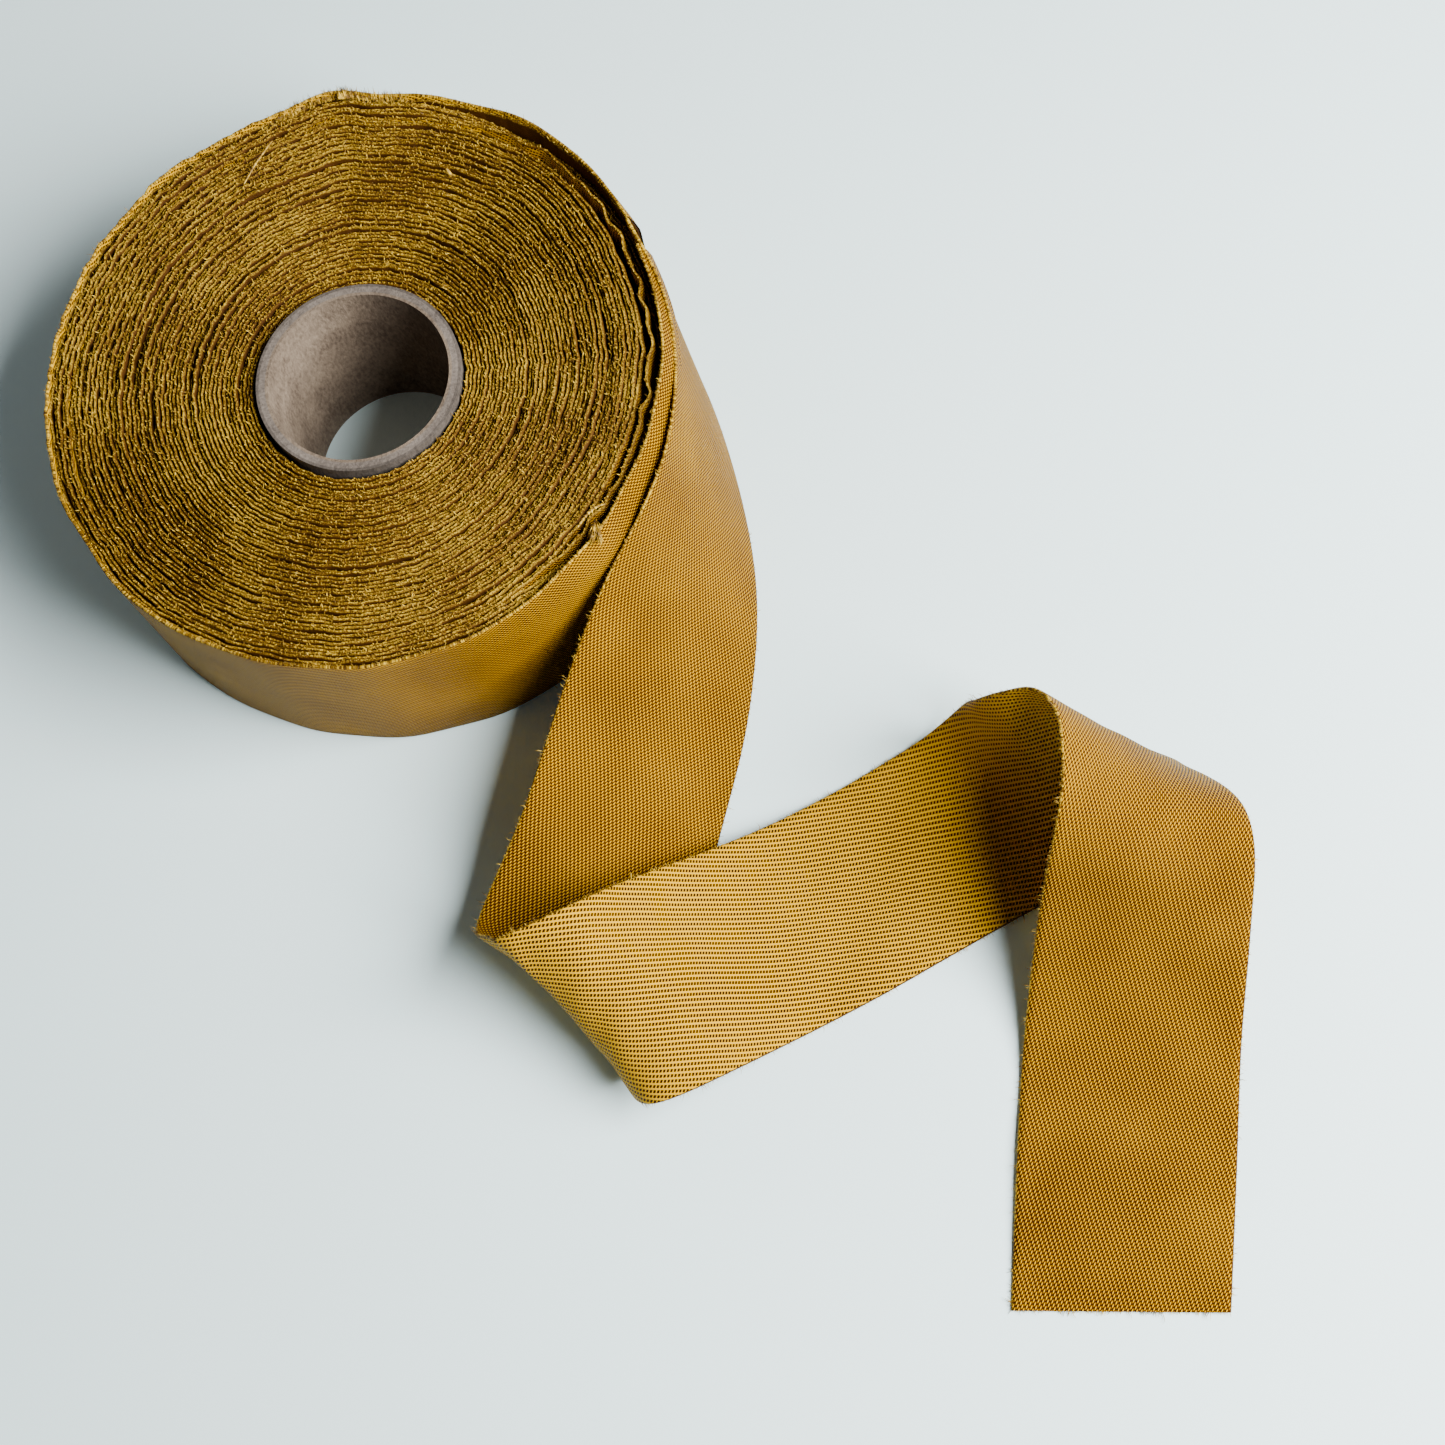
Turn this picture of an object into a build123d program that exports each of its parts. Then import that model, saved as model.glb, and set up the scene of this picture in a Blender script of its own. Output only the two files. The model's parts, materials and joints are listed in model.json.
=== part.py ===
from build123d import *
import os
from math import cos, degrees, radians, sin

# Ribbon spool: a roll of bias-cut fabric ribbon wound on a cardboard tube, with a loose folded end.
# Frame: millimetres, +Z up along the tube's bore, origin on the bore axis at the surface the roll stands on.
# Each node is written to parts/NODE.step.

# The ribbon
RIBBON_WIDTH = 42.0
RIBBON_THICKNESS = 0.8

# The cardboard tube: three wound plies round the bore
BORE_RADIUS = 19.0
TUBE_LENGTH = 43.5
INNER_PLY = 0.6
MIDDLE_PLY = 1.3
OUTER_PLY = 0.6

# The strip of tape that holds the ribbon's first turn to the tube
TAPE_THICKNESS = 0.15
TAPE_HEIGHT = 30.0
TAPE_START = 200.0
TAPE_SWEEP = 40.0
TAPE_GAP = 0.2

# The wound ribbon, which is slightly off centre on the tube
PACK_CENTRE = (-0.5, 2.6)
PACK_RADIUS = 65.5
SECOND_LENGTH_RADIUS = 61.0

# The sewn joins between the cut lengths: a folded seam allowance, lying between two turns.
# Each is placed by its inner radius, its first angle and its sweep.
JOIN_THICKNESS = 1.5
JOIN_CLEARANCE = 0.1
EYE_JOIN = (61.1, -42.0, 9.0)
RIM_JOIN = (63.9, 96.0, 8.0)

# The outermost turn slides round the pack as the ribbon is paid out
TURN_CLEARANCE = 0.3
DEPARTURE_ANGLE = 33.2
OUTER_TURN_SWEEP = 296.0

# The route of the free ribbon: where its upper and its lower edge pass, place by place, as the control
# points of two smooth curves. Heights are counted from the ribbon lying flat on the table.
ROUTE = (
    ((67, 18, 42), (68, 18, 0)),
    ((65, -22, 41), (78, -18, 0)),
    ((52, -39, 33), (80, -41, 0)),
    ((42, -61, 23), (77, -68, 0)),
    ((36, -87, 24), (70, -94, 0)),
    ((26, -101, 10), (65, -115, 0)),
    ((24, -110, 13), (62, -122, 0)),
    ((27, -113, 22), (59, -131, 0)),
    ((31, -115, 27), (55, -136, 0)),
    ((33, -115, 29), (54, -139, 1)),
    ((45, -110, 31), (59, -146, 12)),
    ((53, -103, 22), (73, -140, 14)),
    ((69, -93, 8), (89, -129, 0)),
    ((86, -84, 1), (107, -120, 1)),
    ((106, -72, 0), (127, -108, 1)),
    ((119, -64, 2), (140, -101, 0)),
    ((123, -62, 11), (147, -96, 1)),
    ((126, -66, 24), (158, -87, 2)),
    ((136, -66, 33), (160, -74, -1)),
    ((139, -70, 36), (165, -71, 3)),
    ((142, -78, 38), (170, -77, 7)),
    ((140, -95, 35), (180, -87, 19)),
    ((137, -105, 19), (178, -107, 13)),
    ((134, -127, -1), (176, -130, -1)),
    ((132, -149, 1), (174, -152, 1)),
    ((130, -182, 0), (171, -182, 0)),
)

# The free ribbon's lengths and folds, from one control point of the route to another
LENGTHS = {
    "first_length": (0, 7),
    "first_fold": (7, 12),
    "second_length": (12, 17),
    "second_fold": (17, 22),
    "end_length": (22, 26),
}
SECTIONS_PER_SPAN = 4


def ring(inner, outer, height, centre=(0.0, 0.0)):
    """A tube standing on the table."""
    wall = Circle(outer) - Circle(inner)
    return extrude(Pos(*centre) * wall, height)


def wall_patch(inner, thickness, start, sweep, bottom, height, centre=(0.0, 0.0)):
    """A piece of a tube's wall, from one angle to another."""
    outer = inner + thickness
    edge_angles = (start, start + sweep)
    inner_arc = CenterArc((0, 0), inner, start, sweep)
    outer_arc = CenterArc((0, 0), outer, start, sweep)
    sides = [Line(polar(inner, angle), polar(outer, angle)) for angle in edge_angles]
    outline = make_face([inner_arc, outer_arc, *sides])
    return Pos(centre[0], centre[1], bottom) * extrude(outline, height)


def polar(radius, angle):
    """A point at a radius and an angle in degrees."""
    return (radius * cos(radians(angle)), radius * sin(radians(angle)))


def spline_point(points, place):
    """The point of a uniform cubic B-spline at a place counted in control points, meeting both ends."""
    first = points[0] * 2 - points[1]
    last = points[-1] * 2 - points[-2]
    padded = [first, *points, last]
    span = min(int(place), len(points) - 2)
    t = place - span
    weights = (
        (1 - t) ** 3 / 6,
        (3 * t**3 - 6 * t**2 + 4) / 6,
        (-3 * t**3 + 3 * t**2 + 3 * t + 1) / 6,
        t**3 / 6,
    )
    total = Vector(0, 0, 0)
    for weight, point in zip(weights, padded[span : span + 4]):
        total += point * weight
    return total


def ribbon_edges():
    """The control points of the free ribbon's upper and lower edges, from the roll to the cut end."""
    lift = Vector(0, 0, RIBBON_THICKNESS / 2)
    turn_radius = PACK_RADIUS + TURN_CLEARANCE + RIBBON_THICKNESS / 2
    x, y = polar(turn_radius, DEPARTURE_ANGLE)
    start = Vector(x + PACK_CENTRE[0], y + PACK_CENTRE[1], 0)
    upper = [start + Vector(0, 0, RIBBON_WIDTH)]
    lower = [start]
    for upper_point, lower_point in ROUTE:
        upper.append(Vector(*upper_point))
        lower.append(Vector(*lower_point))
    return [point + lift for point in upper], [point + lift for point in lower]


def ribbon_section(upper, lower, place):
    """The four corners of the ribbon's cross-section at a place along its route."""
    step = 0.05
    ends = (max(place - step, 0), min(place + step, len(upper) - 1))
    along = spline_point(upper, ends[1]) - spline_point(upper, ends[0])
    along += spline_point(lower, ends[1]) - spline_point(lower, ends[0])
    top = spline_point(upper, place)
    bottom = spline_point(lower, place)
    normal = along.cross(top - bottom).normalized() * (RIBBON_THICKNESS / 2)
    return [top + normal, top - normal, bottom - normal, bottom + normal]


def skin(a, b, c, d):
    """Two flat triangles that close the four-sided gap between four points, split from a to c."""
    return [Face(Wire.make_polygon(corners, close=True)) for corners in ([a, b, c], [a, c, d])]


def ribbon_length(upper, lower, start, end):
    """The solid of the free ribbon between two control points of its route."""
    steps = (end - start) * SECTIONS_PER_SPAN
    places = [start + index / SECTIONS_PER_SPAN for index in range(steps + 1)]
    sections = [ribbon_section(upper, lower, place) for place in places]
    faces = [*skin(*sections[0]), *skin(*sections[-1])]
    for here, there in zip(sections, sections[1:]):
        faces += skin(here[0], here[1], there[1], there[0])
        faces += skin(here[1], here[2], there[2], there[1])
        faces += skin(here[2], here[3], there[3], there[2])
        faces += skin(here[0], there[0], there[3], here[3])
    return Solid(Shell(faces))


def make_tube():
    """The three plies of the cardboard tube."""
    nodes = {}
    radius = BORE_RADIUS
    plies = (("core_inner_ply", INNER_PLY), ("core_middle_ply", MIDDLE_PLY), ("core_outer_ply", OUTER_PLY))
    for name, thickness in plies:
        nodes[name] = ring(radius, radius + thickness, TUBE_LENGTH)
        radius += thickness
    return nodes, radius


def make_windings(tube_radius):
    """The wound lengths of ribbon, with the tape under them and the sewn joins between them."""
    winding_radius = tube_radius + TAPE_GAP
    tape_bottom = (RIBBON_WIDTH - TAPE_HEIGHT) / 2
    tape = wall_patch(tube_radius, TAPE_THICKNESS, TAPE_START, TAPE_SWEEP, tape_bottom, TAPE_HEIGHT)
    inner_outline = Pos(*PACK_CENTRE) * Circle(SECOND_LENGTH_RADIUS)
    inner = extrude(inner_outline - Circle(winding_radius), RIBBON_WIDTH)
    outer = ring(SECOND_LENGTH_RADIUS, PACK_RADIUS, RIBBON_WIDTH, PACK_CENTRE)
    return {
        "start_tape": tape,
        "inner_winding": inner,
        "eye_join": join_patch(EYE_JOIN, 0),
        "outer_winding": outer - join_patch(EYE_JOIN, JOIN_CLEARANCE) - join_patch(RIM_JOIN, JOIN_CLEARANCE),
        "rim_join": join_patch(RIM_JOIN, 0),
    }


def join_patch(join, margin):
    """A sewn join, or with a margin the room that it lies in."""
    radius, start, sweep = join
    turn = degrees(margin / radius)
    inner = radius - margin
    thickness = JOIN_THICKNESS + 2 * margin
    return wall_patch(inner, thickness, start - turn, sweep + 2 * turn, 0, RIBBON_WIDTH, PACK_CENTRE)


def make_free_ribbon():
    """The loose outer turn and the free ribbon's lengths and folds."""
    turn_radius = PACK_RADIUS + TURN_CLEARANCE
    upper, lower = ribbon_edges()
    nodes = {
        "outer_turn": wall_patch(
            turn_radius, RIBBON_THICKNESS, DEPARTURE_ANGLE, OUTER_TURN_SWEEP, 0, RIBBON_WIDTH, PACK_CENTRE
        )
    }
    for name, (start, end) in LENGTHS.items():
        nodes[name] = ribbon_length(upper, lower, start, end)
    return nodes


tube_nodes, tube_radius = make_tube()
nodes = {**tube_nodes, **make_windings(tube_radius), **make_free_ribbon()}

os.makedirs("parts", exist_ok=True)
for name, shape in nodes.items():
    export_step(shape, f"parts/{name}.step")
    print(name, round(shape.volume, 1))
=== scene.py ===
import json
import math

import bpy
import numpy as np
from mathutils import Matrix, Vector


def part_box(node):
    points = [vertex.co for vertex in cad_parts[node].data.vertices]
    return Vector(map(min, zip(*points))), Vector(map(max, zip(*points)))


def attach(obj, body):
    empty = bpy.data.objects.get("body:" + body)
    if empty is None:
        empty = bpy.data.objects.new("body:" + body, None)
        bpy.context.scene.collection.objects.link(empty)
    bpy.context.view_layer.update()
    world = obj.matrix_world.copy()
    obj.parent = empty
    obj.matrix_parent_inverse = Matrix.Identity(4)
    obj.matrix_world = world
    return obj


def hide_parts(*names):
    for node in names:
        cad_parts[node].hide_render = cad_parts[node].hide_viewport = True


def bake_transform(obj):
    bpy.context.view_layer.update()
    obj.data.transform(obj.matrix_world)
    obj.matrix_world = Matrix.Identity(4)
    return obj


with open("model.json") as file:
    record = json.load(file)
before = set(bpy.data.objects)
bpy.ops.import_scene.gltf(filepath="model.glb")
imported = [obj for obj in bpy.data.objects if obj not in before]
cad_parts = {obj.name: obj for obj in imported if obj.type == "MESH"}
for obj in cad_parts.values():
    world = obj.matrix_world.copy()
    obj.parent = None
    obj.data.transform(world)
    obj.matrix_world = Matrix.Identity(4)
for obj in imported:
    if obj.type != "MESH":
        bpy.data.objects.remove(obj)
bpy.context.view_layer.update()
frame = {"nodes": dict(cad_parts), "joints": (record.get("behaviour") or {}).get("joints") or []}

# A roll of bias-cut woven ribbon on a cardboard tube, with its end pulled loose and folded over itself.
# Metres, +Z up, origin on the axis of the tube's bore at the surface the roll stands on.

# ---- Sizes from the frame ----

JOINTS = {joint["name"]: joint for joint in frame["joints"]}
TUBE_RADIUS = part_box("core_outer_ply")[1].x
PACK_CENTRE = np.array(JOINTS["pay_out"]["pos_m"][:2])
PACK_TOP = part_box("outer_winding")[1].z
PACK_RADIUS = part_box("outer_winding")[1].y - PACK_CENTRE[1]
WIDTH = PACK_TOP

# ---- The ribbon ----

THICKNESS = 0.0007
FIRST_TURN_GAP = 0.0002
TURNS = 50.3
# The turn where the second cut length of ribbon begins
SECOND_LENGTH_TURN = 45.6
# The direction in which the free ribbon leaves the roll, and how far its outermost turn goes round
DEPARTURE_ANGLE = math.radians(33.2)
OUTER_TURN_SWEEP = math.radians(354)
OUTER_TURN_STEP = 0.001
OUTER_TURN_COLUMNS = 20
STAND_OFF = 0.0007
# The distance between rows of points along a winding, and how deep the cut edge's loose yarns go, over which
# its painted shade fades out towards the top
STEP = 0.00078
EDGE_DEPTH = 0.0006

# The route of the free ribbon: where its upper and its lower edge pass, as the control points of two smooth
# curves. Heights are counted from the ribbon lying flat on the table.
ROUTE = (
    ((0.067, 0.018, 0.042), (0.068, 0.018, 0)),
    ((0.065, -0.022, 0.041), (0.078, -0.018, 0)),
    ((0.052, -0.039, 0.033), (0.080, -0.041, 0)),
    ((0.042, -0.061, 0.023), (0.077, -0.068, 0)),
    ((0.036, -0.087, 0.024), (0.070, -0.094, 0)),
    ((0.026, -0.101, 0.010), (0.065, -0.115, 0)),
    ((0.024, -0.110, 0.013), (0.062, -0.122, 0)),
    ((0.027, -0.113, 0.022), (0.059, -0.131, 0)),
    ((0.031, -0.115, 0.027), (0.055, -0.136, 0)),
    ((0.033, -0.115, 0.029), (0.054, -0.139, 0.001)),
    ((0.045, -0.110, 0.031), (0.059, -0.146, 0.012)),
    ((0.053, -0.103, 0.022), (0.073, -0.140, 0.014)),
    ((0.069, -0.093, 0.008), (0.089, -0.129, 0)),
    ((0.086, -0.084, 0.001), (0.107, -0.120, 0.001)),
    ((0.106, -0.072, 0), (0.127, -0.108, 0.001)),
    ((0.119, -0.064, 0.002), (0.140, -0.101, 0)),
    ((0.123, -0.062, 0.011), (0.147, -0.096, 0.001)),
    ((0.126, -0.066, 0.024), (0.158, -0.087, 0.002)),
    ((0.136, -0.066, 0.033), (0.160, -0.074, -0.001)),
    ((0.139, -0.070, 0.036), (0.165, -0.071, 0.003)),
    ((0.142, -0.078, 0.038), (0.170, -0.077, 0.007)),
    ((0.140, -0.095, 0.035), (0.180, -0.087, 0.019)),
    ((0.137, -0.105, 0.019), (0.178, -0.107, 0.013)),
    ((0.134, -0.127, -0.001), (0.176, -0.130, -0.001)),
    ((0.132, -0.149, 0.001), (0.174, -0.152, 0.001)),
    ((0.130, -0.182, 0), (0.171, -0.182, 0)),
)
ROWS_PER_SPAN = 18
COLUMNS = 30
CENTRE_COLUMN = COLUMNS // 2

# The free ribbon's lengths and folds: CAD node, first and last control point of the route, the body or the
# two bodies it moves with, how the cloth is held, and what it rests on.
TAIL = (
    ("first_length", 0, 7, ("leading_ribbon",), "folded", "outer_turn"),
    ("first_fold", 7, 13, ("leading_ribbon", "middle_ribbon"), "folded", "first_length"),
    ("second_length", 13, 16, ("middle_ribbon",), "laid", "first_fold"),
    ("second_fold", 16, 22, ("middle_ribbon", "ribbon_end"), "folded", "second_length"),
    ("end_length", 22, 26, ("ribbon_end",), "laid", "second_fold"),
)

random = np.random.default_rng(7)


def smooth(x):
    """0 below 0, 1 above 1, and a smooth step between."""
    x = np.clip(x, 0, 1)
    return x * x * (3 - 2 * x)


def hump(x, centre, half_width):
    """1 at the centre, falling smoothly to 0 at the half width."""
    return smooth(1 - np.abs(x - centre) / half_width)


def wander(x, wavelength, seed):
    """A smooth irregular wave of about one unit high, along x."""
    phases = np.random.default_rng(seed).uniform(0, 2 * math.pi, 4)
    total = 0
    for octave, phase in enumerate(phases):
        total = total + np.sin(2 * math.pi * x / wavelength * 1.37**octave + phase)
    return total / 2.2


def turned(angle):
    """The same angle, between minus and plus half a turn."""
    return (angle + math.pi) % (2 * math.pi) - math.pi


# ---- Camera ----


def make_camera():
    """A camera above the floor in front of the roll, looking down."""
    camera = bpy.data.objects.new("camera", bpy.data.cameras.new("camera"))
    bpy.context.scene.collection.objects.link(camera)
    camera.data.sensor_width = 36
    camera.data.lens = 54.8
    camera.data.clip_start = 0.01
    heading = Matrix.Rotation(math.radians(16.05), 4, "Z")
    tilt = Matrix.Rotation(math.radians(19.78), 4, "X")
    place = Matrix.Translation((0.1159, -0.2134, 0.4392))
    camera.matrix_world = place @ heading @ tilt @ heading.inverted()
    bpy.context.scene.camera = camera


make_camera()

# ---- Materials ----


class Nodes:
    """A material's node tree, built by calls that return sockets."""

    def __init__(self, name):
        self.material = bpy.data.materials.new(name)
        self.material.use_nodes = True
        self.tree = self.material.node_tree
        self.shader = self.tree.nodes["Principled BSDF"]

    def node(self, kind, inputs=None, output=0, **settings):
        """A new node with these inputs and settings; gives one of its outputs."""
        made = self.tree.nodes.new(kind)
        for name, value in settings.items():
            setattr(made, name, value)
        for name, value in (inputs or {}).items():
            self.feed(made.inputs[name], value)
        return made.outputs[output]

    def feed(self, socket, value):
        """Links a socket into another, or sets it to a plain value."""
        if isinstance(value, bpy.types.NodeSocket):
            self.tree.links.new(value, socket)
        else:
            socket.default_value = value

    def math(self, operation, a, b=0.0):
        return self.node("ShaderNodeMath", {0: a, 1: b}, operation=operation)

    def mix(self, factor, a, b):
        """A mix of two colours."""
        made = self.tree.nodes.new("ShaderNodeMix")
        made.data_type = "RGBA"
        for index, value in ((0, factor), (6, a), (7, b)):
            self.feed(made.inputs[index], value)
        return made.outputs[2]

    def ramp(self, value, stops):
        """A colour from a value, by a ramp with these positions and colours."""
        made = self.tree.nodes.new("ShaderNodeValToRGB")
        self.feed(made.inputs[0], value)
        elements = made.color_ramp.elements
        while len(elements) < len(stops):
            elements.new(0.5)
        for element, (position, colour) in zip(elements, stops):
            element.position = position
            element.color = (*colour, 1)
        return made.outputs[0]

    def noise(self, vector, scale, detail=2.0, roughness=0.5):
        inputs = {"Vector": vector, "Scale": scale, "Detail": detail, "Roughness": roughness}
        return self.node("ShaderNodeTexNoise", inputs)

    def bump(self, height, distance):
        return self.node("ShaderNodeBump", {"Height": height, "Distance": distance, "Strength": 1.0})

    def finish(self, colour, normal, roughness, specular=None):
        """Feeds the shader and gives the finished material."""
        self.feed(self.shader.inputs["Base Color"], colour)
        if normal is not None:
            self.feed(self.shader.inputs["Normal"], normal)
        self.shader.inputs["Roughness"].default_value = roughness
        if specular is not None:
            self.shader.inputs["Specular IOR Level"].default_value = specular
        return self.material


# The ribbon's colours: painted shade, dark in the gaps of the weave, its gold-brown between, and a painted
# highlight, light on the crowns of its yarns
YARN_GAP_SHADE = (0.026, 0.005, 0.0)
YARN_MIDDLE = (0.215, 0.088, 0.0)
YARN_CROWN_HIGHLIGHT = (0.59, 0.315, 0.0)
# The weave's ribs run at this angle to the ribbon's length, because the ribbon is cut on the bias
RIB_ANGLE = math.radians(-20)


def weave_material(name, rib_pitch, stitch_pitch, stitch_slant, stagger, relief, ticks, darkness):
    """Woven cloth: ribs at an angle to the ribbon's length, each a row of small stitches.

    The pitches and the relief are in metres. stagger is how far each row of stitches is moved against the one
    before it. ticks is 0 for stitches all over the cloth, or 1 for stitches in the grooves between the ribs.
    darkness is the shade below which the weave is at its darkest; the colour follows the weave's height, as
    painted shade in its gaps and a painted highlight on its crowns.
    """
    nodes = Nodes(name)
    uv = nodes.node("ShaderNodeUVMap", uv_map="ribbon")
    swim = nodes.noise(uv, 28, 1)
    swim = nodes.math("MULTIPLY", nodes.math("SUBTRACT", swim, 0.5), 0.0016)
    turned_uv = nodes.node("ShaderNodeMapping", {"Vector": uv, "Rotation": (0, 0, -RIB_ANGLE)})
    split = nodes.tree.nodes.new("ShaderNodeSeparateXYZ")
    nodes.feed(split.inputs[0], turned_uv)
    along, across = split.outputs[0], nodes.math("ADD", split.outputs[1], swim)
    rib_place = nodes.math("DIVIDE", across, rib_pitch)
    rib_number = nodes.math("FLOOR", nodes.math("ADD", rib_place, 0.5 * ticks))
    rib_wave = nodes.math("COSINE", nodes.math("MULTIPLY", rib_place, 2 * math.pi))
    rib = nodes.math("MULTIPLY", nodes.math("SUBTRACT", 1.0, rib_wave), 0.5)
    slanted = nodes.math("ADD", along, nodes.math("MULTIPLY", across, stitch_slant))
    stitch_place = nodes.math("DIVIDE", slanted, stitch_pitch)
    stitch_place = nodes.math("ADD", stitch_place, nodes.math("MULTIPLY", rib_number, stagger))
    stitch_wave = nodes.math("COSINE", nodes.math("MULTIPLY", stitch_place, 2 * math.pi))
    stitch = nodes.math("MULTIPLY", nodes.math("SUBTRACT", 1.0, stitch_wave), 0.5)
    lattice = nodes.math("ADD", nodes.math("MULTIPLY", rib, 0.42), nodes.math("MULTIPLY", stitch, 0.58))
    crown = {"Value": rib, "From Min": 0.42, "From Max": 0.78}
    band = nodes.node("ShaderNodeMapRange", crown, interpolation_type="SMOOTHSTEP")
    groove = nodes.math("MULTIPLY", nodes.math("SUBTRACT", 1.0, band), nodes.math("MULTIPLY", stitch, 0.86))
    ribbed = nodes.math("ADD", band, groove)
    lattice = nodes.math("MULTIPLY", lattice, 1 - ticks)
    height = nodes.math("ADD", lattice, nodes.math("MULTIPLY", ribbed, ticks))
    fibres = nodes.noise(uv, 6000, 2)
    patches = nodes.noise(uv, 45, 3)
    shade = nodes.math("ADD", height, nodes.math("MULTIPLY", nodes.math("SUBTRACT", fibres, 0.5), 0.35))
    shade = nodes.math("ADD", shade, nodes.math("MULTIPLY", nodes.math("SUBTRACT", patches, 0.5), 0.3))
    # The colour follows the weave's height: painted shade in the gaps and a painted highlight on the crowns,
    # with random yarn tone from the noise
    stops = ((darkness, YARN_GAP_SHADE), (darkness + 0.26, YARN_MIDDLE), (darkness + 0.56, YARN_CROWN_HIGHLIGHT))
    relief_height = nodes.math("ADD", height, nodes.math("MULTIPLY", fibres, 0.2))
    nodes.shader.inputs["Specular Tint"].default_value = (1.0, 0.75, 0.2, 1)
    return nodes.finish(nodes.ramp(shade, stops), nodes.bump(relief_height, relief), 0.5, 0.07)


def edge_material():
    """The cut edge: yarn ends of mixed brown and light gold, with painted shade where they go down between
    turns.
    """
    nodes = Nodes("cut_edge")
    uv = nodes.node("ShaderNodeUVMap", uv_map="ribbon")
    split = nodes.tree.nodes.new("ShaderNodeSeparateXYZ")
    nodes.feed(split.inputs[0], uv)
    depth = nodes.math("DIVIDE", nodes.math("SUBTRACT", split.outputs[1], WIDTH - EDGE_DEPTH), EDGE_DEPTH)
    yarns = nodes.noise(uv, 2400, 2, 0.7)
    patches = nodes.noise(nodes.node("ShaderNodeTexCoord", output=3), 60, 3)
    shade = nodes.math("ADD", yarns, nodes.math("MULTIPLY", nodes.math("SUBTRACT", patches, 0.5), 0.35))
    stops = ((0.38, (0.045, 0.018, 0.001)), (0.50, (0.18, 0.092, 0.003)), (0.62, (0.62, 0.40, 0.03)))
    # Painted shade: dark below the top of the cut edge, turning to the yarns' colour at the top
    colour = nodes.mix(depth, (0.050, 0.018, 0.002, 1), nodes.ramp(shade, stops))
    return nodes.finish(colour, nodes.bump(yarns, 0.0003), 0.6, 0.08)


def fibre_material():
    """Loose yarn ends, lighter than the cloth."""
    nodes = Nodes("yarn_ends")
    place = nodes.node("ShaderNodeTexCoord", output=3)
    shade = nodes.noise(place, 700, 2, 0.7)
    stops = ((0.35, (0.10, 0.045, 0.001)), (0.5, (0.32, 0.18, 0.006)), (0.64, (0.80, 0.54, 0.06)))
    return nodes.finish(nodes.ramp(shade, stops), None, 0.5)


def cardboard_material(name, dark, light):
    """Grey-brown recycled board with short fibres pressed into it."""
    nodes = Nodes(name)
    place = nodes.node("ShaderNodeTexCoord", output=3)
    stretched = nodes.node("ShaderNodeMapping", {"Vector": place, "Scale": (1, 1, 0.45)})
    fibres = nodes.noise(stretched, 1500, 4, 0.65)
    clouds = nodes.noise(place, 120, 3)
    shade = nodes.math("ADD", nodes.math("MULTIPLY", fibres, 0.6), nodes.math("MULTIPLY", clouds, 0.4))
    colour = nodes.ramp(shade, ((0.35, dark), (0.65, light)))
    return nodes.finish(colour, nodes.bump(fibres, 0.0002), 0.9, 0.15)


OUTER_FACE = weave_material("ribbon_outer_face", 0.00082, 0.00068, -0.8, 0.485, 0.00028, 0, 0.37)
INNER_FACE = weave_material("ribbon_inner_face", 0.00104, 0.00066, -0.3, 0.5, 0.00032, 1, 0.34)
CUT_EDGE = edge_material()
YARN_ENDS = fibre_material()
RIBBON_MATERIALS = (OUTER_FACE, INNER_FACE, CUT_EDGE)
# Their places in a piece's material slots
OUTER, INNER, EDGE = range(3)

# ---- Meshes ----


def add_mesh(name, points, faces, materials, uv=None, face_materials=None, flat=0):
    """A new piece. uv is in metres along and across the ribbon. The last faces, flat of them, are flat."""
    mesh = bpy.data.meshes.new(name)
    mesh.from_pydata(points.reshape(-1, 3), [], faces)
    for material in materials:
        mesh.materials.append(material)
    if face_materials is not None:
        mesh.polygons.foreach_set("material_index", np.asarray(face_materials, np.int32))
    if uv is not None:
        layer = mesh.uv_layers.new(name="ribbon")
        corners = np.empty(len(mesh.loops), np.int32)
        mesh.loops.foreach_get("vertex_index", corners)
        layer.data.foreach_set("uv", np.asarray(uv, np.float32).reshape(-1, 2)[corners].ravel())
    first_flat = len(faces) - flat
    mesh.polygons.foreach_set("use_smooth", np.arange(len(faces)) < first_flat)
    for polygon in mesh.polygons[first_flat:] if flat else ():
        for corner in polygon.loop_indices:
            mesh.edges[mesh.loops[corner].edge_index].use_edge_sharp = True
    mesh.validate()
    mesh.update()
    piece = bpy.data.objects.new(name, mesh)
    bpy.context.scene.collection.objects.link(piece)
    return piece


def loop_faces(rows, size):
    """Quads that join rows of closed loops, each loop of the same size."""
    first = (np.arange(rows - 1) * size)[:, None]
    here = np.arange(size)[None, :]
    after = (here + 1) % size
    quads = np.stack([first + here, first + after, first + size + after, first + size + here], axis=-1)
    return quads.reshape(-1, 4).tolist()


def unit(vectors):
    """Vectors of length 1 in the same directions."""
    return vectors / np.maximum(np.linalg.norm(vectors, axis=-1, keepdims=True), 1e-12)


def cloth_loops(middle):
    """Closed loops round a cloth's thickness, from rows of points across the ribbon, lower edge first."""
    lengthwise = np.gradient(middle, axis=0)
    crosswise = np.gradient(middle, axis=1)
    normal = unit(np.cross(crosswise, lengthwise))
    outer = middle + normal * THICKNESS / 2
    inner = middle - normal * THICKNESS / 2
    overhang = unit(crosswise) * THICKNESS * 0.35
    top_edge = (middle + overhang)[:, -1:]
    bottom_edge = (middle - overhang)[:, :1]
    return np.concatenate([outer, top_edge, inner[:, ::-1], bottom_edge], axis=1)


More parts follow.
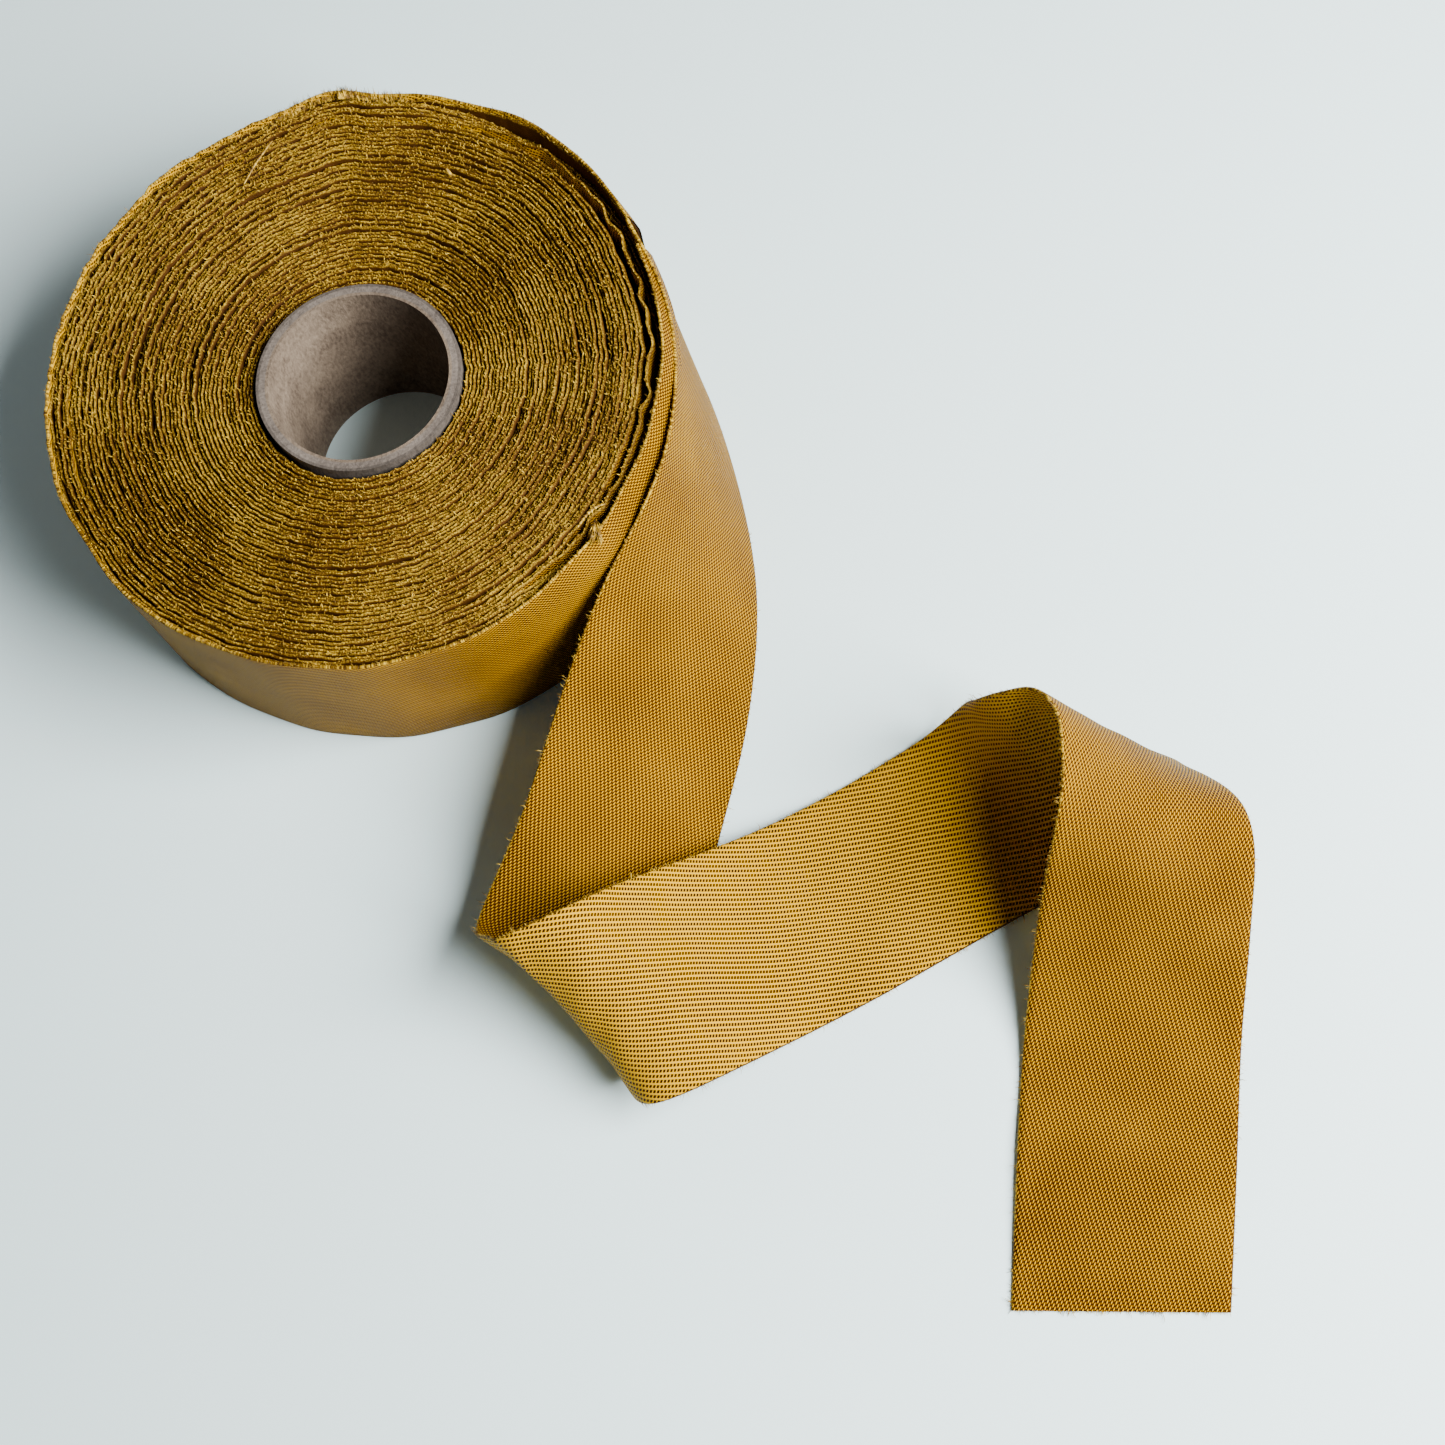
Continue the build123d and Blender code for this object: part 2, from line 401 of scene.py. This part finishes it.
def closed_strip(name, loops, along, across, cut_ends):
    """A strip of cloth with its real thickness, from rows of closed loops. cut_ends says which ends are cut.

    An end where the cloth goes on in the next piece is closed a little way inside, so that no joint shows.
    """
    columns = len(across)
    size = loops.shape[1]
    core = (loops + loops[:, (2 * columns - np.arange(size)) % size]) / 2
    for end, beyond, cut in ((0, 1, cut_ends[0]), (-1, -2, cut_ends[1])):
        depth, size_left = (0.05, 0.98) if cut else (0.6, 0.5)
        inset = core[end] + (loops[end] - core[end]) * size_left + (loops[beyond] - loops[end]) * depth
        place = along[end]
        if end == 0:
            loops, along = np.concatenate([inset[None], loops]), np.concatenate([[place], along])
            core = np.concatenate([core[:1], core])
        else:
            loops, along = np.concatenate([loops, inset[None]]), np.concatenate([along, [place]])
    rows = len(loops)
    across_loop = np.concatenate([across, across[-1:], across[::-1], across[:1]])
    uv = np.stack(np.meshgrid(along, across_loop, indexing="ij"), axis=-1)
    quads = loop_faces(rows, size)
    # The cut edges take the cut edge's finish: painted shade along the lower edge, the yarns' colour along
    # the upper
    row_materials = [OUTER] * (columns - 1) + [EDGE] * 2 + [INNER] * (columns - 1) + [EDGE] * 2
    ends = quads[:size] + quads[-size:]
    faces = quads[size:-size]
    face_materials = row_materials * (rows - 3) + [EDGE] * len(ends)
    for base, order in ((0, 1), ((rows - 1) * size, -1)):
        for column in range(columns - 1):
            opposite = 2 * columns - column
            quad = [base + column, base + opposite, base + opposite - 1, base + column + 1]
            ends.append(quad[::order])
            face_materials.append(EDGE)
        for corner in ((columns - 1, columns + 1, columns), (0, size - 1, 2 * columns)):
            ends.append([base + index for index in corner][::order])
            face_materials.append(EDGE)
    return add_mesh(name, loops, faces + ends, RIBBON_MATERIALS, uv, face_materials, len(ends))


def hairs(name, roots, ends, bends, radius):
    """Fine tapering yarn ends from roots to ends, each bowed by its bend at the middle."""
    count = len(roots)
    direction = unit(ends - roots)
    side = unit(np.cross(direction, np.array([0.31, 0.17, 0.93])))
    other = np.cross(direction, side)
    middles = (roots + ends) / 2 + bends
    rings = []
    for centre, share in ((roots, 1.0), (middles, 0.8)):
        for corner in range(3):
            angle = 2 * math.pi * corner / 3
            offset = (side * math.cos(angle) + other * math.sin(angle)) * radius[:, None] * share
            rings.append(centre + offset)
    points = np.stack([*rings, ends], axis=1)
    pattern = []
    for corner in range(3):
        after = (corner + 1) % 3
        pattern.append((corner, after, 3 + after))
        pattern.append((corner, 3 + after, 3 + corner))
        pattern.append((3 + corner, 3 + after, 6))
    pattern.append((2, 1, 0))
    faces = (np.arange(count) * 7)[:, None, None] + np.array(pattern)[None]
    return add_mesh(name, points, faces.reshape(-1, 3).tolist(), [YARN_ENDS])


def ride_as_ribbon(piece, body):
    """The piece moves with a body."""
    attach(piece, body)


# ---- The roll's shape ----

PINCH_START = 0.0345
PINCH_DEPTH = 0.0028
# The low grooves in the roll's top: turn, direction in degrees, and half width in degrees
GROOVES = ((24.3, -88, 55), (36.5, 10, 40), (30.2, 170, 50), (41.2, -60, 35), (13.5, 60, 60))


def pinch(angle, height):
    """How far the roll's upper rim is drawn in, on the side where the free ribbon leaves it."""
    side = np.exp(-((np.degrees(turned(angle)) + 3) / 47) ** 4)
    return PINCH_DEPTH * side * np.clip((height - PINCH_START) / (PACK_TOP - PINCH_START), 0, 1) ** 1.4


def outline(angle, height):
    """Distance from the bore's axis to the roll's surface, in a direction."""
    direction = np.stack([np.cos(angle), np.sin(angle)], axis=-1)
    forward = direction @ PACK_CENTRE
    reach = forward + np.sqrt(forward**2 + PACK_RADIUS**2 - PACK_CENTRE @ PACK_CENTRE)
    join_bump = 0.0015 * hump(np.degrees(turned(angle)), 99, 10)
    lumps = 0.00025 * wander(np.degrees(angle), 45, 3)
    lumps = lumps + 0.00022 * wander(np.degrees(angle), 7, 13) * hump(np.degrees(angle) % 360, 150, 90)
    return reach - pinch(angle, height) + join_bump + lumps


def polar(radius, angle, height):
    """Points round the bore's axis."""
    return np.stack(np.broadcast_arrays(radius * np.cos(angle), radius * np.sin(angle), height), axis=-1)


def spiral(first_turn, last_turn):
    """Turn number and angle, in even steps along the ribbon, from the inside to the outside."""
    inside = TUBE_RADIUS + FIRST_TURN_GAP
    pitch = (PACK_RADIUS - inside) / TURNS

    def length(turn):
        return 2 * math.pi * (inside * turn + pitch * turn**2 / 2)

    lengths = np.arange(length(first_turn), length(last_turn), STEP)
    turn = (np.sqrt(inside**2 + pitch * lengths / math.pi) - inside) / pitch
    angle = DEPARTURE_ANGLE - 2 * math.pi * (turn - TURNS)
    return turn, angle, lengths


def turn_radius(turn, angle, height):
    """Distance from the bore's axis to the middle of the ribbon at a turn."""
    inside = TUBE_RADIUS + FIRST_TURN_GAP
    reach = outline(angle, height) - inside
    radius = inside + THICKNESS / 2 + reach * turn / TURNS
    degrees = np.degrees(turned(angle))
    eye = hump(degrees, -38, 5) * np.where(turn > SECOND_LENGTH_TURN, 0.0008, -0.0005)
    radius = radius + eye * np.exp(-np.abs(turn - SECOND_LENGTH_TURN) / 2.2)
    leaning = smooth((turn - SECOND_LENGTH_TURN + 1.2) / 0.5) * (turn < SECOND_LENGTH_TURN)
    leaning = leaning * smooth((70 - np.abs(degrees - 15)) / 25) * (height > 0)
    radius = radius + leaning * (0.0013 + 0.0005 * wander(degrees, 16, 21))
    return radius + 0.00012 * wander(degrees, 13, 5) + 0.00006 * wander(turn * 360, 17, 9)


def turn_height(turn, angle, lengths):
    """Height of the ribbon's upper edge at a turn."""
    degrees = np.degrees(turned(angle))
    levels = np.interp(turn, np.arange(60), np.random.default_rng(4).normal(0, 0.00026, 60))
    level = PACK_TOP - 0.0003 + levels + 0.00022 * wander(lengths, 0.06, 11) + 0.0003 * wander(turn, 6.5, 2)
    for groove, centre, reach in GROOVES:
        level = level - 0.0011 * hump(turn, groove, 0.7) * hump(degrees, centre, reach)
    recess = smooth((turn - SECOND_LENGTH_TURN) / 0.4) * smooth((TURNS - 0.6 - turn) / 0.3)
    recess = recess * smooth((72 - np.abs(degrees - 12)) / 30)
    proud = hump(turn, SECOND_LENGTH_TURN - 0.7, 0.9) * hump(degrees, 10, 68)
    return level - 0.0048 * recess + 0.0008 * proud


def winding(name, node, first_turn, last_turn):
    """A wound length of ribbon: every turn of its spiral, with the loose yarn ends along its upper edge."""
    turn, angle, lengths = spiral(first_turn, last_turn)
    top = turn_height(turn, angle, lengths)
    count = len(turn)
    jag = random.uniform(-1, 1, (count, 3))
    rows = []
    shoulder = top - EDGE_DEPTH
    floor = np.zeros(count)
    for side, height in ((0.5, floor), (0.5, shoulder), (0, top), (-0.5, shoulder), (-0.5, floor)):
        radius = turn_radius(turn, angle, height) + side * THICKNESS
        raised = height + (0.00028 * jag[:, 0] if side == 0 else 0.00014 * jag[:, 1] * (height > 0))
        radius = radius + (0.00016 * jag[:, 2] if side == 0 else 0)
        rows.append(polar(radius, angle, raised))
    points = np.stack(rows, axis=1)
    size = len(rows)
    faces = loop_faces(count, size)
    # Only the leaning turns show their cloth faces; the other turns' faces take the cut edge's finish, which
    # is dark below the shoulder as painted shade
    leaning = np.abs(turn[1:] - SECOND_LENGTH_TURN + 0.6) < 0.9
    face_materials = np.where(leaning[:, None], [OUTER, EDGE, EDGE, INNER, EDGE], EDGE).ravel().tolist()
    for base, order in ((0, 1), ((count - 1) * size, -1)):
        faces.append([base + index for index in range(size)][::-order])
        face_materials.append(EDGE)
    across = np.array([0, WIDTH - EDGE_DEPTH, WIDTH, WIDTH - EDGE_DEPTH, 0])
    uv = np.stack(np.meshgrid(lengths, across, indexing="ij"), axis=-1)
    piece = add_mesh(name, points, faces, RIBBON_MATERIALS, uv, face_materials, 2)
    ride_as_ribbon(piece, "roll")
    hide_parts(node)
    tufts = winding_tufts(name + "_yarn_ends", points[:, 2], angle)
    ride_as_ribbon(tufts, "roll")


def winding_tufts(name, ridge, angle):
    """Short yarn ends that stand up from a winding's upper edge."""
    pick = random.random(len(ridge)) < 0.97
    roots = ridge[pick] - np.array([0, 0, 0.0002])
    count = len(roots)
    outward = np.stack([np.cos(angle[pick]), np.sin(angle[pick]), np.zeros(count)], axis=-1)
    onward = np.stack([-outward[:, 1], outward[:, 0], np.zeros(count)], axis=-1)
    lean = random.normal(0, 0.45, (count, 2))
    reach = random.gamma(2.2, 0.00028, count)[:, None]
    ends = roots + reach * unit(np.array([0, 0, 1]) + lean[:, :1] * outward + lean[:, 1:] * onward)
    bends = random.normal(0, 0.00005, (count, 3))
    return hairs(name, roots, ends, bends, random.uniform(0.00007, 0.00018, count))


# ---- The free ribbon ----


def spline(points, places):
    """Points of a uniform cubic B-spline at places counted in control points, meeting both ends."""
    padded = np.vstack([2 * points[0] - points[1], points, 2 * points[-1] - points[-2]])
    span = np.minimum(places.astype(int), len(points) - 2)
    t = (places - span)[:, None]
    weights = (
        (1 - t) ** 3 / 6,
        (3 * t**3 - 6 * t**2 + 4) / 6,
        (-3 * t**3 + 3 * t**2 + 3 * t + 1) / 6,
        t**3 / 6,
    )
    return sum(weight * padded[span + index] for index, weight in enumerate(weights))


def free_edges(places):
    """The free ribbon's upper and lower edges, from the roll to the cut end."""
    lift = np.array([0, 0, THICKNESS / 2])
    radius = outline(DEPARTURE_ANGLE, 0) + STAND_OFF
    start = polar(radius, DEPARTURE_ANGLE, 0.0)
    upper = np.array([start + [0, 0, WIDTH], *(pair[0] for pair in ROUTE)])
    lower = np.array([start, *(pair[1] for pair in ROUTE)])
    upper, lower = spline(upper, places) + lift, spline(lower, places) + lift
    angle = np.arctan2(upper[:, 1] - PACK_CENTRE[1], upper[:, 0] - PACK_CENTRE[0])
    drawn = pinch(angle, upper[:, 2]) * (1 - smooth(places / 2.2))
    upper = upper - polar(drawn, angle, 0.0)
    upper = upper + polar(0.0004 * hump(places, 1.2, 1.1), angle, 0.0)
    upper[:, 2] -= 0.0030 * hump(places, 1.25, 1.2)
    return upper, lower


def surface(upper, lower):
    """Rows of points across the ribbon, lower edge first."""
    share = np.linspace(0, 1, COLUMNS)[None, :, None]
    return lower[:, None] * (1 - share) + upper[:, None] * share


def rippled(middle):
    """The same rows of points, with the slight waves that cloth keeps after it has been wound."""
    normal = unit(np.cross(np.gradient(middle, axis=1), np.gradient(middle, axis=0)))
    row = np.arange(len(middle))[:, None] / ROWS_PER_SPAN
    column = np.linspace(0, 1, middle.shape[1])[None, :]
    waves = wander(row + 1.6 * column, 3.1, 41) * 0.6 + wander(row - 2.3 * column, 2.2, 43) * 0.4
    middle = middle + normal * (0.00032 * waves * smooth((row - 3) / 2))[..., None]
    middle[..., 2] = np.maximum(middle[..., 2], THICKNESS / 2)
    return middle


def edge_hairs(name, middle, ends=()):
    """Yarn ends that stand out from both cut edges of a strip, and from any cut end."""
    roots, outward, onward = [], [], []
    lines = [(middle[:, -1], middle[:, -1] - middle[:, -2]), (middle[:, 0], middle[:, 0] - middle[:, 1])]
    for row, inner_row in ends:
        lines.append((middle[row], middle[row] - middle[inner_row]))
    for line, away in lines:
        steps = np.linalg.norm(np.diff(line, axis=0), axis=1)
        place = np.concatenate([[0], np.cumsum(steps)])
        count = int(place[-1] / 0.00024)
        at = np.sort(random.uniform(0, place[-1], count))
        roots.append(np.stack([np.interp(at, place, line[:, axis]) for axis in range(3)], axis=-1))
        flow = np.stack([np.interp(at, place, unit(away)[:, axis]) for axis in range(3)], axis=-1)
        outward.append(flow)
        run = np.gradient(line, axis=0)
        onward.append(np.stack([np.interp(at, place, unit(run)[:, axis]) for axis in range(3)], axis=-1))
    roots, outward, onward = (np.concatenate(part) for part in (roots, outward, onward))
    count = len(roots)
    reach = random.gamma(2.2, 0.00028, count)[:, None]
    lean = random.normal(0, 0.55, (count, 1)) * onward + random.normal(0, 0.25, (count, 3))
    tips = roots + reach * unit(outward + lean)
    tips[:, 2] = np.maximum(tips[:, 2], 0.00005)
    starts = roots - outward * 0.0003
    bends = random.normal(0, 0.12, (count, 3)) * reach
    bends[:, 2] = np.maximum(bends[:, 2], 0)
    return hairs(name, starts, tips, bends, random.uniform(0.00004, 0.00009, count))


def make_tail():
    """The free ribbon, in the lengths that move against each other and the folds between them."""
    places = np.linspace(0, len(ROUTE), len(ROUTE) * ROWS_PER_SPAN + 1)
    upper, lower = free_edges(places)
    middle = rippled(surface(upper, lower))
    loops = cloth_loops(middle)
    steps = np.linalg.norm(np.diff(middle[:, CENTRE_COLUMN], axis=0), axis=1)
    along = np.concatenate([[0], np.cumsum(steps)])
    across = np.linspace(0, WIDTH, COLUMNS)
    for name, start, end, bodies, held, support in TAIL:
        rows = slice(start * ROWS_PER_SPAN, end * ROWS_PER_SPAN + 1)
        last = name == "end_length"
        piece = closed_strip(name + "_cloth", loops[rows], along[rows], across, (False, last))
        fray = edge_hairs(name + "_fray", middle[rows], [(-1, -2)] if last else [])
        for part in (piece, fray):
            if len(bodies) == 1:
                ride_as_ribbon(part, bodies[0])
            else:
                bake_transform(part)
        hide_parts(name)


def make_outer_turn():
    """The loose outermost turn of the roll, which slides round it with the free ribbon."""
    length = OUTER_TURN_SWEEP * PACK_RADIUS
    steps = int(length / OUTER_TURN_STEP)
    share = np.linspace(1, 0, steps)
    angle = DEPARTURE_ANGLE + share * OUTER_TURN_SWEEP
    height = np.linspace(0, WIDTH, OUTER_TURN_COLUMNS)
    stand_off = STAND_OFF - 0.00025 * share
    level = 0.0002 * wander(angle * PACK_RADIUS, 0.05, 31)
    radius = outline(angle[:, None], height[None, :]) + stand_off[:, None]
    lift = THICKNESS / 2 + (height / WIDTH)[None, :] * level[:, None]
    middle = polar(radius, angle[:, None], height[None, :] + lift)
    along = -share * OUTER_TURN_SWEEP * PACK_RADIUS
    piece = closed_strip("outer_turn_cloth", cloth_loops(middle), along, height, (True, False))
    fray = edge_hairs("outer_turn_fray", middle)
    for part in (piece, fray):
        ride_as_ribbon(part, "leading_ribbon")
    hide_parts("outer_turn")


# ---- Joins and loose yarns ----

YARN_ROWS = 60
YARN_SIDES = 6


def between(points, share):
    """Places along a row of points, each a share of the way from the first to the last."""
    places = np.linspace(0, 1, len(points))
    return np.stack([np.interp(share, places, np.array(points)[:, axis]) for axis in range(3)], axis=-1)


def yarn(name, points, radius, knots=0.0):
    """A length of yarn along points, thinner at its ends, with a twist that swells and narrows it."""
    share = np.linspace(0, 1, YARN_ROWS)
    line = between(points, share)
    kernel = np.ones(9) / 9
    padded = np.pad(line, ((4, 4), (0, 0)), mode="reflect", reflect_type="odd")
    line = np.stack([np.convolve(padded[:, axis], kernel, "valid") for axis in range(3)], axis=-1)
    along = unit(np.gradient(line, axis=0))
    side = unit(np.cross(along, [0.1, 0.2, 1.0]))
    other = np.cross(along, side)
    swell = radius * (1 + knots * np.sin(share * 60)) * np.sqrt(np.sin(math.pi * (0.04 + 0.92 * share)))
    around = np.linspace(0, 2 * math.pi, YARN_SIDES + 1)[:-1]
    ring = side[:, None] * np.cos(around)[None, :, None] + other[:, None] * np.sin(around)[None, :, None]
    rings = line[:, None] + ring * swell[:, None, None]
    faces = loop_faces(YARN_ROWS, YARN_SIDES)
    faces.append(list(range(YARN_SIDES))[::-1])
    faces.append([(YARN_ROWS - 1) * YARN_SIDES + index for index in range(YARN_SIDES)])
    piece = add_mesh(name, rings, faces, [YARN_ENDS])
    ride_as_ribbon(piece, "roll")
    return piece


def fringe(name, roots, tips, spread, count, radius):
    """A tuft of yarn ends between two lines of points, with its tips spread about."""
    share = random.random(count)
    start, end = between(roots, share), between(tips, share)
    start = start + random.normal(0, spread * 0.3, (count, 3))
    end = start + (end - start) * random.uniform(0.45, 1.1, (count, 1)) + random.normal(0, spread, (count, 3))
    bends = random.normal(0, spread * 0.5, (count, 3))
    piece = hairs(name, start, end, bends, random.uniform(0.6, 1.4, count) * radius)
    ride_as_ribbon(piece, "roll")
    return piece


def make_joins():
    """Where two cut lengths of ribbon meet: a frayed eye near the outside, and a bump on the rim."""
    top = PACK_TOP + 0.0008
    line = [(0.0468, -0.0350, top), (0.0480, -0.0333, top + 0.0005), (0.0493, -0.0318, top + 0.0006)]
    line += [(0.0509, -0.0305, top + 0.0004), (0.0523, -0.0297, top - 0.0003)]
    eye = yarn("eye_join_yarn", line, 0.00032, 0.35)
    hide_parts("eye_join")
    necks = [(0.0503, -0.0331, top - 0.0008)] * 2
    tips = [(0.0490, -0.0392, top), (0.0502, -0.0386, top)]
    fringe("eye_join_tuft_a", necks, tips, 0.00035, 70, 0.00011)
    tips = [(0.0512, -0.0384, top), (0.0522, -0.0394, top)]
    fringe("eye_join_tuft_b", necks, tips, 0.00035, 70, 0.00011)
    angles = np.radians(np.linspace(86, 110, 12))
    reach = outline(angles, 0.0)
    roots = polar(reach - 0.0004, angles, WIDTH - 0.0006)
    tips = polar(reach + 0.0016, angles, WIDTH + 0.0004)
    rim = fringe("rim_join_fringe", roots, tips, 0.00045, 520, 0.00010)
    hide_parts("rim_join")
    tuft = [(-0.0093, 0.0682, top - 0.0005), (-0.0062, 0.0684, top - 0.0005)]
    fringe("rim_join_tuft", tuft, [(-0.0102, 0.0707, top), (-0.0072, 0.0712, top)], 0.0003, 90, 0.00012)
    line = [(-0.0285, 0.0472, top), (-0.0263, 0.0518, top + 0.0004), (-0.0239, 0.0567, top)]
    yarn("loose_yarn", [*line, (-0.0231, 0.0579, top)], 0.00022, 0.25)
    line = [(0.0155, 0.0492, top), (0.0162, 0.0480, top + 0.0003), (0.0169, 0.0474, top)]
    yarn("light_fleck", line, 0.00040, 0.2)


# ---- Floor and light ----

FLOOR_REACH = 6


def make_stage():
    """A pale floor, a weak even light from all round, a window and the light that a far wall gives back."""
    mesh = bpy.data.meshes.new("floor")
    corners = [(x * FLOOR_REACH, y * FLOOR_REACH, 0) for x, y in ((-1, -1), (1, -1), (1, 1), (-1, 1))]
    mesh.from_pydata(corners, [], [(0, 1, 2, 3)])
    floor = bpy.data.objects.new("floor", mesh)
    bpy.context.scene.collection.objects.link(floor)
    nodes = Nodes("pale_table")
    nodes.shader.inputs["Base Color"].default_value = (0.73, 0.92, 0.95, 1)
    nodes.shader.inputs["Roughness"].default_value = 0.6
    mesh.materials.append(nodes.material)
    world = bpy.data.worlds.new("soft_room")
    world.use_nodes = True
    background = world.node_tree.nodes["Background"]
    background.inputs["Color"].default_value = (0.86, 0.94, 1.0, 1)
    background.inputs["Strength"].default_value = 0.075
    bpy.context.scene.world = world
    add_light("window", (0.58, -0.16, 0.48), (0.05, -0.04, 0), 0.52, 25, (1.0, 0.985, 0.96))
    add_light("far_wall", (-0.75, 0.55, 0.20), (0, 0, 0.02), 0.5, 2.4, (1.0, 0.98, 0.95))


def add_light(name, place, target, size, power, colour):
    """A square area light, turned to its target."""
    light = bpy.data.objects.new(name, bpy.data.lights.new(name, "AREA"))
    light.data.size = size
    light.data.energy = power
    light.data.color = colour
    light.location = place
    light.rotation_euler = (Vector(target) - Vector(place)).to_track_quat("-Z", "Y").to_euler()
    bpy.context.scene.collection.objects.link(light)


make_stage()
make_tail()
make_outer_turn()
make_joins()
winding("inner_winding_cloth", "inner_winding", 0, SECOND_LENGTH_TURN)
winding("outer_winding_cloth", "outer_winding", SECOND_LENGTH_TURN, TURNS)

BOARDS = {
    "core_inner_ply": cardboard_material("inner_board", (0.085, 0.062, 0.045), (0.22, 0.17, 0.124)),
    "core_middle_ply": cardboard_material("middle_board", (0.08, 0.065, 0.055), (0.19, 0.16, 0.135)),
    "core_outer_ply": cardboard_material("outer_board", (0.05, 0.042, 0.035), (0.12, 0.10, 0.085)),
    "start_tape": cardboard_material("masking_tape", (0.30, 0.24, 0.15), (0.46, 0.38, 0.26)),
}
for node, material in BOARDS.items():
    frame["nodes"][node].data.materials.clear()
    frame["nodes"][node].data.materials.append(material)
